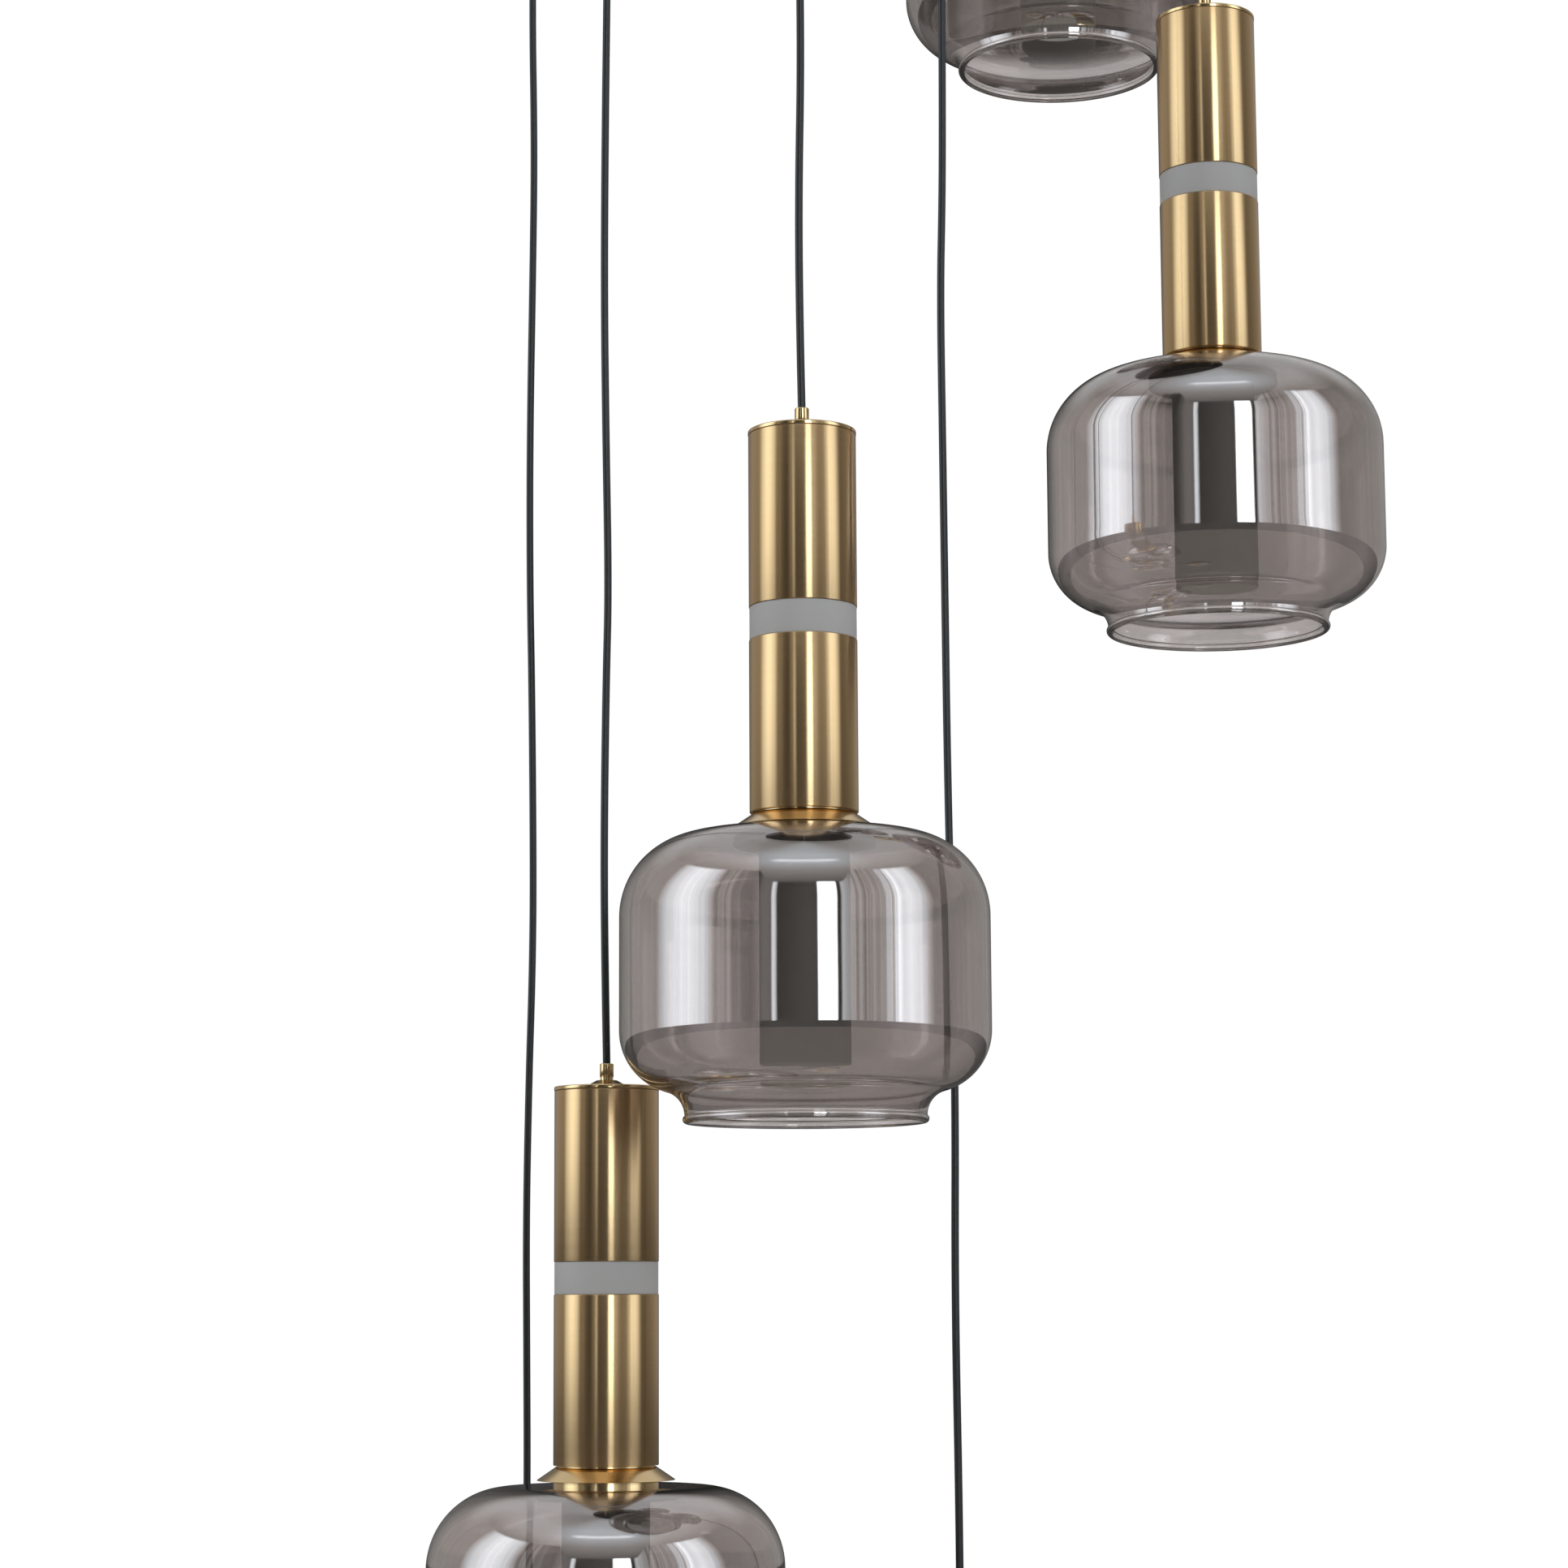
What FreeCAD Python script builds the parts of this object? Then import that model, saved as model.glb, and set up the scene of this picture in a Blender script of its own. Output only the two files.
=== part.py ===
import FreeCAD, Part
import math
import os

# Cluster pendant: six glass lamps on black cords under one round canopy.
# Millimetres. The origin is the middle of the ceiling plane, +Z is up, and everything hangs below.

# Canopy
canopy_d = 550.0
canopy_h = 45.0
canopy_wall = 1.2
canopy_corner_r = 6.0
bracket_t = 2.0
bracket_w = 60.0
bracket_tab_h = 22.0
bracket_gap = 0.2
ceiling_pcd = 120.0
ceiling_hole_d = 5.5
ceiling_hole_count = 4
supply_hole_d = 16.0
supply_hole_y = 22.0
side_screw_d = 4.0
side_screw_head_d = 7.5
side_screw_head_h = 2.4
side_screw_len = 8.0
side_screw_count = 4
head_gap = 0.03
thread_play = 0.05

# Driver and terminal block inside the canopy
driver_l = 170.0
driver_w = 46.0
driver_h = 26.0
driver_x = 0.0
driver_y = 125.0
driver_corner_r = 3.0
driver_lug_l = 9.0
driver_lug_t = 2.0
driver_shelf_l = 200.0
block_l = 60.0
block_w = 18.0
block_h = 17.0
block_y = -15.0
block_poles = 6
block_hole_d = 4.2

# Cord grips under the canopy
cord_d = 4.5
grip_d = 14.0
grip_tip_d = 9.5
grip_h = 12.0
grip_straight = 5.0
grip_thread_d = 10.0
grip_nut_d = 16.0
grip_nut_h = 4.0
grip_mouth_play = 0.5
grip_mouth_depth = 3.0
end_gap = 0.3

# One lamp, measured from the lower end of its lower tube
tube_d = 60.0
tube_wall = 1.5
lower_tube_h = 96.0
ring_h = 18.4
upper_tube_h = 97.5
edge_break = 0.4
spigot_h = 8.0
spigot_play = 0.1
ring_d = 59.4
ring_bore_d = 50.0
cap_d = 60.4
cap_t = 2.5
cap_spigot_wall = 2.0
cone_base_d = 25.0
cone_top_d = 12.0
cone_h = 3.6

# Cord sleeve on the cap
sleeve_neck_d = 7.4
sleeve_neck_h = 2.0
sleeve_d = 8.0
sleeve_h = 7.7
sleeve_stem_d = 7.0
sleeve_stem_grip = 8.0
sleeve_mouth_play = 0.45
cord_seat = 2.0

# Holder under the tubes that carries the glass
holder_recess = 0.8
holder_neck_d = 55.2
holder_top_d = 57.0
holder_d = 78.6
holder_h = 8.3
holder_edge = 0.8
seat_d = 60.0
seat_web = 2.0
holder_stem_d = 44.8
holder_stem_h = 11.0
holder_stem_wall = 4.4

# Glass shade
glass_t = 2.5
shade_d = 203.0
shade_top = 11.8
shade_bottom = 170.0
shade_hole_d = 47.0
shoulder_r = 45.5
corner_r = 34.0
neck_d = 132.0
neck_r = 13.9
lip_bead_d = 4.6

# Frosted diffuser inside the shade
diffuser_d = 50.0
diffuser_wall = 2.5
diffuser_bottom = 141.0
diffuser_corner_r = 2.0
collar_d = 78.6
collar_t = 2.5

# Light core inside the tubes
core_rod_d = 12.0
core_play = 0.1
core_disc_d = 48.0
core_disc_h = 10.0
core_plate_d = 34.0
core_plate_h = 4.0

# How far the lower end of each lamp's lower tube hangs below the ceiling
drop_1 = 417.0
drop_2 = 832.0
drop_3 = 1134.0
drop_4 = 1491.0
drop_5 = 1831.0
drop_6 = 2170.0

# Where the lamps hang: X, Y and the lower end of the lower tube
lamp_places = [
    (141.0, 158.0, -drop_1),
    (217.0, -25.0, -drop_2),
    (-34.0, -202.0, -drop_3),
    (-148.0, -83.0, -drop_4),
    (-206.0, 100.0, -drop_5),
    (52.0, -80.0, -drop_6),
]

# Each cord hangs almost straight. These are its slight waves: how far down the cord, as a share of
# its height, and how far it lies aside in X.
cord_waves = [
    [],
    [(0.246, 0.6), (0.499, -0.5), (0.753, 0.4)],
    [(0.159, 0.7), (0.323, -0.5), (0.487, 0.4), (0.639, -0.3), (0.756, 0.8), (0.856, -1.2),
     (0.943, -0.9)],
    [(0.112, 0.5), (0.228, -0.6), (0.352, 0.3), (0.467, -1.0), (0.547, -2.0), (0.622, -2.3),
     (0.695, -1.1), (0.768, 0.6), (0.815, -0.8), (0.887, -1.8), (0.943, -1.4)],
    [(0.087, 0.5), (0.171, -0.6), (0.249, 0.2), (0.326, -0.9), (0.389, 1.1), (0.442, 0.4),
     (0.514, -1.0), (0.576, -0.5), (0.616, 1.0), (0.697, 2.6), (0.737, 2.1), (0.776, 0.4),
     (0.835, -1.0), (0.887, -0.2), (0.945, 0.6)],
    [(0.072, -0.4), (0.141, 0.6), (0.204, -0.2), (0.268, 0.5), (0.317, 0.3), (0.365, -0.6),
     (0.397, -2.6), (0.444, -2.2), (0.491, -1.9), (0.552, -1.5), (0.601, -0.2), (0.651, 0.9),
     (0.710, -0.8), (0.782, 0.5), (0.865, -0.5), (0.940, 0.4)],
]

# Worked out from the sizes above
cord_r = cord_d / 2.0
tube_r = tube_d / 2.0
tube_bore_r = tube_r - tube_wall
spigot_r = tube_bore_r - spigot_play
ring_bottom = lower_tube_h
ring_top = ring_bottom + ring_h
cap_bottom = ring_top + upper_tube_h
cap_top = cap_bottom + cap_t
sleeve_bottom = cap_top + cone_h
sleeve_top = sleeve_bottom + sleeve_neck_h + sleeve_h
core_rod_r = core_rod_d / 2.0
canopy_r = canopy_d / 2.0
grip_mouth_z = -canopy_h - grip_h
cord_top_z = grip_mouth_z + grip_mouth_depth - end_gap


def place(r, z):
    """A point of a turned outline, at radius r and height z."""
    return FreeCAD.Vector(r, 0.0, z)


def line(start, end):
    return Part.LineSegment(place(*start), place(*end)).toShape()


def arc(start, middle, end):
    return Part.Arc(place(*start), place(*middle), place(*end)).toShape()


def on_circle(centre, radius, degrees):
    """The point of a circle at an angle above the horizontal."""
    angle = math.radians(degrees)
    return (centre[0] + radius * math.cos(angle), centre[1] + radius * math.sin(angle))


def arc_about(centre, radius, start, end):
    """An arc about a centre, between two angles in degrees."""
    middle = (start + end) / 2.0
    return arc(on_circle(centre, radius, start), on_circle(centre, radius, middle),
               on_circle(centre, radius, end))


def turned(edges):
    """A closed outline turned once around the Z axis."""
    face = Part.Face(Part.Wire(edges))
    return face.revolve(FreeCAD.Vector(0, 0, 0), FreeCAD.Vector(0, 0, 1), 360.0)


def turned_polygon(points):
    """An outline of straight lines, turned once around the Z axis."""
    corners = [place(*p) for p in points]
    return turned([Part.makePolygon(corners + corners[:1])])


def cylinder(radius, bottom, top, x=0.0, y=0.0):
    return Part.makeCylinder(radius, top - bottom, FreeCAD.Vector(x, y, bottom))


def box(x_mid, y_mid, bottom, length, width, height):
    corner = FreeCAD.Vector(x_mid - length / 2.0, y_mid - width / 2.0, bottom)
    return Part.makeBox(length, width, height, corner)


def around(count, first_degrees=0.0):
    """Evenly spaced angles round the Z axis, in degrees."""
    return [first_degrees + 360.0 * i / count for i in range(count)]


def rotated(shape, degrees):
    copy = shape.copy()
    copy.rotate(FreeCAD.Vector(0, 0, 0), FreeCAD.Vector(0, 0, 1), degrees)
    return copy


def moved(shape, x, y, z):
    copy = shape.copy()
    copy.translate(FreeCAD.Vector(x, y, z))
    return copy


# Canopy

def side_screw_z():
    return -bracket_t - bracket_tab_h / 2.0


def tab_outer_r():
    return canopy_r - canopy_wall - bracket_gap


def canopy_cover():
    """A spun dish, open at the ceiling, with an outlet for each cord grip."""
    corner = (canopy_r - canopy_corner_r, -canopy_h + canopy_corner_r)
    inner_r = canopy_r - canopy_wall
    shell = turned([
        line((0, -canopy_h), (corner[0], -canopy_h)),
        arc_about(corner, canopy_corner_r, -90.0, 0.0),
        line((canopy_r, corner[1]), (canopy_r, 0)),
        line((canopy_r, 0), (inner_r, 0)),
        line((inner_r, 0), (inner_r, corner[1])),
        arc_about(corner, canopy_corner_r - canopy_wall, 0.0, -90.0),
        line((corner[0], -canopy_h + canopy_wall), (0, -canopy_h + canopy_wall)),
        line((0, -canopy_h + canopy_wall), (0, -canopy_h)),
    ])
    for x, y, z in lamp_places:
        shell = shell.cut(cylinder(grip_thread_d / 2.0 + thread_play, -canopy_h - 1.0,
                                   -canopy_h + canopy_wall + 1.0, x, y))
    for angle in around(side_screw_count):
        shell = shell.cut(rotated(side_screw_hole(side_screw_d / 2.0 + thread_play), angle))
    return shell


def side_screw_hole(radius):
    """A round cutter along +X through the canopy's wall and the bracket's tab."""
    start = FreeCAD.Vector(tab_outer_r() - 3.0 * bracket_t, 0, side_screw_z())
    return Part.makeCylinder(radius, 3.0 * bracket_t + 2.0 * canopy_wall + 1.0, start,
                             FreeCAD.Vector(1, 0, 0))


def bracket():
    """A cross of flat bar with turned-down ends, a driver shelf, and holes for the ceiling."""
    outer = tab_outer_r()
    reach = outer - bracket_t
    arm = box(reach / 2.0, 0, -bracket_t, reach, bracket_w, bracket_t)
    tab = box(outer - bracket_t / 2.0, 0, -bracket_t - bracket_tab_h, bracket_t,
              bracket_w, bracket_tab_h + bracket_t)
    bent = arm.fuse(tab).common(cylinder(outer, -canopy_h, 1.0))
    plate = box(driver_x, driver_y, -bracket_t, driver_shelf_l, driver_w, bracket_t)
    for angle in around(side_screw_count):
        plate = plate.fuse(rotated(bent, angle))
    plate = plate.removeSplitter()
    for angle in around(ceiling_hole_count):
        x, y = on_circle((0, 0), ceiling_pcd / 2.0, angle)
        plate = plate.cut(cylinder(ceiling_hole_d / 2.0, -bracket_t - 1.0, 1.0, x, y))
    for angle in around(side_screw_count):
        plate = plate.cut(rotated(side_screw_hole(side_screw_d / 2.0 + thread_play), angle))
    return plate.cut(cylinder(supply_hole_d / 2.0, -bracket_t - 1.0, 1.0, 0, supply_hole_y))


def side_screws():
    """Round-headed screws that hold the canopy on the bracket's tabs."""
    outward = FreeCAD.Vector(1, 0, 0)
    seat = canopy_r + head_gap
    shank = Part.makeCylinder(side_screw_d / 2.0, side_screw_len,
                              FreeCAD.Vector(seat - side_screw_len, 0, side_screw_z()), outward)
    head = Part.makeCylinder(side_screw_head_d / 2.0, side_screw_head_h,
                             FreeCAD.Vector(seat, 0, side_screw_z()), outward)
    screw = shank.fuse(head)
    return Part.Compound([rotated(screw, angle) for angle in around(side_screw_count)])


def driver():
    """The constant-current driver: a closed case with a lug at each end, under the bracket's shelf."""
    case = box(driver_x, driver_y, -bracket_t - driver_h, driver_l, driver_w, driver_h)
    upright = [edge for edge in case.Edges if abs(edge.tangentAt(edge.FirstParameter).z) > 0.9]
    case = case.makeFillet(driver_corner_r, upright)
    lugs = box(driver_x, driver_y, -bracket_t - driver_lug_t, driver_l + 2.0 * driver_lug_l,
               driver_w / 2.0, driver_lug_t)
    return case.fuse(lugs).removeSplitter()


def terminal_block():
    """A terminal strip under the bracket's middle, with a wire hole for each pole."""
    strip = box(0, block_y, -bracket_t - block_h, block_l, block_w, block_h)
    pitch = block_l / block_poles
    for i in range(block_poles):
        x = -block_l / 2.0 + pitch * (i + 0.5)
        hole = Part.makeCylinder(block_hole_d / 2.0, block_w + 2.0,
                                 FreeCAD.Vector(x, block_y - block_w / 2.0 - 1.0,
                                                -bracket_t - block_h / 2.0),
                                 FreeCAD.Vector(0, 1, 0))
        strip = strip.cut(hole)
        if i:
            strip = strip.cut(box(x - pitch / 2.0, block_y, -bracket_t - block_h,
                                  1.2, block_w, block_h / 3.0))
    return strip


def cord_grip():
    """A turned gland: collar under the canopy, thread through it, nut above it."""
    thread_r = grip_thread_d / 2.0
    nut_r = grip_nut_d / 2.0
    mouth_r = cord_r + grip_mouth_play
    floor = -canopy_h
    nut_bottom = floor + canopy_wall
    bore_r = cord_r + thread_play
    return turned_polygon([
        (mouth_r, grip_mouth_z),
        (grip_tip_d / 2.0, grip_mouth_z),
        (grip_d / 2.0, floor - grip_straight),
        (grip_d / 2.0, floor),
        (thread_r, floor),
        (thread_r, nut_bottom),
        (nut_r, nut_bottom),
        (nut_r, nut_bottom + grip_nut_h),
        (bore_r, nut_bottom + grip_nut_h),
        (bore_r, grip_mouth_z + grip_mouth_depth),
        (mouth_r, grip_mouth_z + grip_mouth_depth),
    ])


def cord_grips():
    return Part.Compound([moved(cord_grip(), x, y, 0) for x, y, z in lamp_places])


# Cords

def cord_points(index):
    """The route of one cord, from its grip down to the seat in its lamp's sleeve."""
    x, y, z = lamp_places[index]
    height = cord_top_z - (z + sleeve_top - cord_seat)
    waves = [(0.0, 0.0)] + cord_waves[index] + [(1.0, 0.0)]
    return [FreeCAD.Vector(x + aside, y, cord_top_z - share * height) for share, aside in waves]


def bend(before, corner, after):
    """Start, middle and end of the arc at a corner of a route, and the arc's radius."""
    back = (before - corner).normalize()
    ahead = (after - corner).normalize()
    half_turn = (math.pi - back.getAngle(ahead)) / 2.0
    reach = 0.45 * min((before - corner).Length, (after - corner).Length)
    radius = reach / math.tan(half_turn)
    inward = (back + ahead).normalize()
    centre = corner + inward * (radius / math.cos(half_turn))
    return corner + back * reach, centre - inward * radius, corner + ahead * reach, radius


def cord(index):
    """A round cord along its route of straight runs joined by tangent arcs."""
    points = cord_points(index)
    edges = []
    radii = []
    start = points[0]
    for before, corner, after in zip(points, points[1:], points[2:]):
        arc_start, arc_middle, arc_end, radius = bend(before, corner, after)
        edges.append(Part.LineSegment(start, arc_start).toShape())
        edges.append(Part.Arc(arc_start, arc_middle, arc_end).toShape())
        radii.append(radius)
        start = arc_end
    edges.append(Part.LineSegment(start, points[-1]).toShape())
    path = Part.Wire(edges)
    section = Part.Wire(Part.Circle(points[0], points[1] - points[0], cord_r).toShape())
    tube = path.makePipeShell([section], True, False)
    expected = math.pi * cord_r ** 2 * path.Length
    print("cord", index + 1, "length", round(path.Length, 1), "least radius",
          round(min(radii), 0) if radii else "straight",
          "volume ratio", round(tube.Volume / expected, 5))
    return tube


# One lamp, built round the Z axis with the lower end of its lower tube at Z = 0

def tube(bottom, height):
    """A plain tube with its outer edges broken."""
    top = bottom + height
    return turned_polygon([
        (tube_bore_r, bottom),
        (tube_r - edge_break, bottom),
        (tube_r, bottom + edge_break),
        (tube_r, top - edge_break),
        (tube_r - edge_break, top),
        (tube_bore_r, top),
    ])


def frosted_ring():
    """The ring between the tubes, with a spigot into each."""
    bore_r = ring_bore_d / 2.0
    outer_r = ring_d / 2.0
    return turned_polygon([
        (bore_r, ring_bottom - spigot_h),
        (spigot_r, ring_bottom - spigot_h),
        (spigot_r, ring_bottom),
        (outer_r, ring_bottom),
        (outer_r, ring_top),
        (spigot_r, ring_top),
        (spigot_r, ring_top + spigot_h),
        (bore_r, ring_top + spigot_h),
    ])


def top_cap():
    """A disc with a low cone on it and a spigot into the upper tube."""
    cap_r = cap_d / 2.0
    hole_r = sleeve_stem_d / 2.0 + thread_play
    return turned_polygon([
        (hole_r, cap_bottom),
        (spigot_r - cap_spigot_wall, cap_bottom),
        (spigot_r - cap_spigot_wall, cap_bottom - spigot_h),
        (spigot_r, cap_bottom - spigot_h),
        (spigot_r, cap_bottom),
        (cap_r - edge_break, cap_bottom),
        (cap_r, cap_bottom + edge_break),
        (cap_r, cap_top - edge_break),
        (cap_r - edge_break, cap_top),
        (cone_base_d / 2.0, cap_top),
        (cone_top_d / 2.0, cap_top + cone_h),
        (hole_r, cap_top + cone_h),
    ])


def cord_sleeve():
    """The sleeve that grips the cord, with a stem down through the cap into the core."""
    bore_r = cord_r + sleeve_mouth_play
    neck_r_here = sleeve_neck_d / 2.0
    body_r = sleeve_d / 2.0
    stem_r = sleeve_stem_d / 2.0
    body_bottom = sleeve_bottom + sleeve_neck_h
    return turned_polygon([
        (bore_r, cap_bottom - sleeve_stem_grip),
        (stem_r, cap_bottom - sleeve_stem_grip),
        (stem_r, sleeve_bottom),
        (neck_r_here, sleeve_bottom),
        (neck_r_here, body_bottom),
        (body_r, body_bottom),
        (body_r, sleeve_top - edge_break),
        (body_r - edge_break, sleeve_top),
        (bore_r, sleeve_top),
    ])


def cap_and_sleeve():
    return Part.Compound([top_cap(), cord_sleeve()])


def seat_z():
    """The holder's seat, which is the glass's flat top."""
    return -shade_top


def glass_holder():
    """A flared collar with a spigot up into the tube and a stem down through the glass."""
    rod_hole_r = core_rod_r + core_play
    stem_r = holder_stem_d / 2.0
    stem_bottom = seat_z() - holder_stem_h
    rim_r = holder_d / 2.0
    flare_bottom = -holder_h
    seat_r = seat_d / 2.0
    slope = (holder_h - holder_recess) / (rim_r - holder_top_d / 2.0)
    under_z = flare_bottom + slope * (rim_r - holder_edge - seat_r)
    return turned_polygon([
        (rod_hole_r, seat_web),
        (spigot_r - tube_wall, seat_web),
        (spigot_r - tube_wall, spigot_h),
        (spigot_r, spigot_h),
        (spigot_r, 0),
        (holder_neck_d / 2.0, 0),
        (holder_neck_d / 2.0, -holder_recess),
        (holder_top_d / 2.0, -holder_recess),
        (rim_r, flare_bottom),
        (rim_r - holder_edge, flare_bottom),
        (seat_r, under_z),
        (seat_r, seat_z()),
        (stem_r, seat_z()),
        (stem_r, stem_bottom),
        (stem_r - holder_stem_wall, stem_bottom),
        (stem_r - holder_stem_wall, -seat_web),
        (rod_hole_r, -seat_web),
    ])


def shade_outline():
    """Circle centres of the shade: shoulder, lower corner, neck and the bead round its mouth."""
    shade_r = shade_d / 2.0
    bead_r = lip_bead_d / 2.0
    bead = (neck_d / 2.0 - glass_t / 2.0, -shade_bottom + bead_r)
    shoulder = (shade_r - shoulder_r, -shade_top - shoulder_r)
    neck = (neck_d / 2.0 + neck_r, bead[1] + math.sqrt(bead_r ** 2 - (glass_t / 2.0) ** 2))
    across = neck[0] - (shade_r - corner_r)
    rise = math.sqrt((corner_r + neck_r) ** 2 - across ** 2)
    corner = (shade_r - corner_r, neck[1] + rise)
    meet = math.degrees(math.atan2(rise, across))
    return shoulder, corner, neck, bead, meet


def glass_shade():
    """Blown glass: flat top with a hole, round shoulder, straight barrel, round corner, hollow neck and
    a mouth rolled into a bead."""
    shade_r = shade_d / 2.0
    hole_r = shade_hole_d / 2.0
    shoulder, corner, neck, bead, meet = shade_outline()
    top = -shade_top
    under = top - glass_t
    neck_r_in = neck_r + glass_t
    inward = math.degrees(math.pi)
    outer_foot = math.degrees(math.acos(glass_t / lip_bead_d))
    return turned([
        line((hole_r, top), (shoulder[0], top)),
        arc_about(shoulder, shoulder_r, 90.0, 0.0),
        line((shade_r, shoulder[1]), (shade_r, corner[1])),
        arc_about(corner, corner_r, 0.0, -meet),
        arc_about(neck, neck_r, inward - meet, inward),
        arc_about(bead, lip_bead_d / 2.0, outer_foot, -inward - outer_foot),
        arc_about(neck, neck_r_in, inward, inward - meet),
        arc_about(corner, corner_r - glass_t, -meet, 0.0),
        line((shade_r - glass_t, corner[1]), (shade_r - glass_t, shoulder[1])),
        arc_about(shoulder, shoulder_r - glass_t, 0.0, 90.0),
        line((shoulder[0], under), (hole_r, under)),
        line((hole_r, under), (hole_r, top)),
    ])


def inner_diffuser():
    """A frosted cup with a wide collar against the underside of the glass."""
    outer_r = diffuser_d / 2.0
    inner_r = outer_r - diffuser_wall
    top = -shade_top - glass_t
    bottom = -diffuser_bottom
    corner = (outer_r - diffuser_corner_r, bottom + diffuser_corner_r)
    return turned([
        line((inner_r, top), (collar_d / 2.0, top)),
        line((collar_d / 2.0, top), (collar_d / 2.0, top - collar_t)),
        line((collar_d / 2.0, top - collar_t), (outer_r, top - collar_t)),
        line((outer_r, top - collar_t), (outer_r, corner[1])),
        arc_about(corner, diffuser_corner_r, 0.0, -90.0),
        line((corner[0], bottom), (0, bottom)),
        line((0, bottom), (0, bottom + diffuser_wall)),
        line((0, bottom + diffuser_wall), (inner_r, bottom + diffuser_wall)),
        line((inner_r, bottom + diffuser_wall), (inner_r, top)),
    ])


def light_core():
    """The rod that joins cap and holder, with a light board in the ring and one in the diffuser."""
    plate_top = seat_z() - holder_stem_h
    rod = cylinder(core_rod_r, plate_top - core_plate_h, cap_bottom)
    socket = cylinder(sleeve_stem_d / 2.0 + thread_play, cap_bottom - sleeve_stem_grip - 1.0,
                      cap_bottom + 1.0)
    ring_middle = (ring_bottom + ring_top) / 2.0
    disc = cylinder(core_disc_d / 2.0, ring_middle - core_disc_h / 2.0,
                    ring_middle + core_disc_h / 2.0)
    plate = cylinder(core_plate_d / 2.0, plate_top - core_plate_h, plate_top)
    return rod.fuse([disc, plate]).cut(socket).removeSplitter()


def lamp_pieces():
    return {
        "top_cap": cap_and_sleeve(),
        "upper_tube": tube(ring_top, upper_tube_h),
        "frosted_ring": frosted_ring(),
        "lower_tube": tube(0, lower_tube_h),
        "glass_holder": glass_holder(),
        "glass_shade": glass_shade(),
        "inner_diffuser": inner_diffuser(),
        "light_core": light_core(),
    }


def main():
    os.makedirs("parts", exist_ok=True)
    nodes = {
        "canopy_cover": canopy_cover(),
        "mounting_bracket": bracket(),
        "canopy_screws": side_screws(),
        "driver": driver(),
        "terminal_block": terminal_block(),
        "cord_grips": cord_grips(),
    }
    pieces = lamp_pieces()
    for index, (x, y, z) in enumerate(lamp_places):
        number = str(index + 1)
        nodes["cord_" + number] = cord(index)
        for name, shape in pieces.items():
            nodes[name + "_" + number] = moved(shape, x, y, z)
    for name, shape in nodes.items():
        shape.exportStep(os.path.join("parts", name + ".step"))
        if not shape.isValid():
            print("not valid:", name)
    print(len(nodes), "nodes")


main()
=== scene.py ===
import math

import bmesh
import bpy
from mathutils import Matrix, Vector


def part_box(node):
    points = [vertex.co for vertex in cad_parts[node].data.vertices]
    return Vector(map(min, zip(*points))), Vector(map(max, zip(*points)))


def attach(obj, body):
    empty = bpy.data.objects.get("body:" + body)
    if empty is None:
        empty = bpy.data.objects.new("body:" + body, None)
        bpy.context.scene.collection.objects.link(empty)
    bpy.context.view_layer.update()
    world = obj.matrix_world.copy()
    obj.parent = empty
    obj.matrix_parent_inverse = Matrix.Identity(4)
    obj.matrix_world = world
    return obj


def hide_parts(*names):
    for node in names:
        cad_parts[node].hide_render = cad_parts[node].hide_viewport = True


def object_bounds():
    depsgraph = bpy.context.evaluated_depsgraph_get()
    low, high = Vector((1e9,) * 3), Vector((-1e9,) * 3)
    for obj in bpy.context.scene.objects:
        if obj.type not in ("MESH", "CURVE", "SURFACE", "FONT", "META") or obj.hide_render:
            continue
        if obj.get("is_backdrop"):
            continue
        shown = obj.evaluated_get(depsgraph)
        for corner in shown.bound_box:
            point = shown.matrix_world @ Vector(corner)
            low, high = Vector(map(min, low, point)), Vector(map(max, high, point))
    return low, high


bl_info = {
    "name": "Cluster pendant",
    "version": (1, 0, 0),
    "blender": (4, 5, 0),
    "location": "3D View > Sidebar > Pendant",
    "description": "Dresses the packed cluster pendant: brass and smoked glass on black cords",
    "category": "Object",
}

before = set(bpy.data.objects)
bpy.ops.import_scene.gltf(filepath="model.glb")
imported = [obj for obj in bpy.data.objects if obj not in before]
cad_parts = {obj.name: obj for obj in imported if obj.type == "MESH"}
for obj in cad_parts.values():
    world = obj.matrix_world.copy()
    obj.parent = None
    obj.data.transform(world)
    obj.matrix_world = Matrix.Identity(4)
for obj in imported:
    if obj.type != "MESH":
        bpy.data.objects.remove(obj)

LAMPS = (1, 2, 3, 4, 5, 6)

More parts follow.
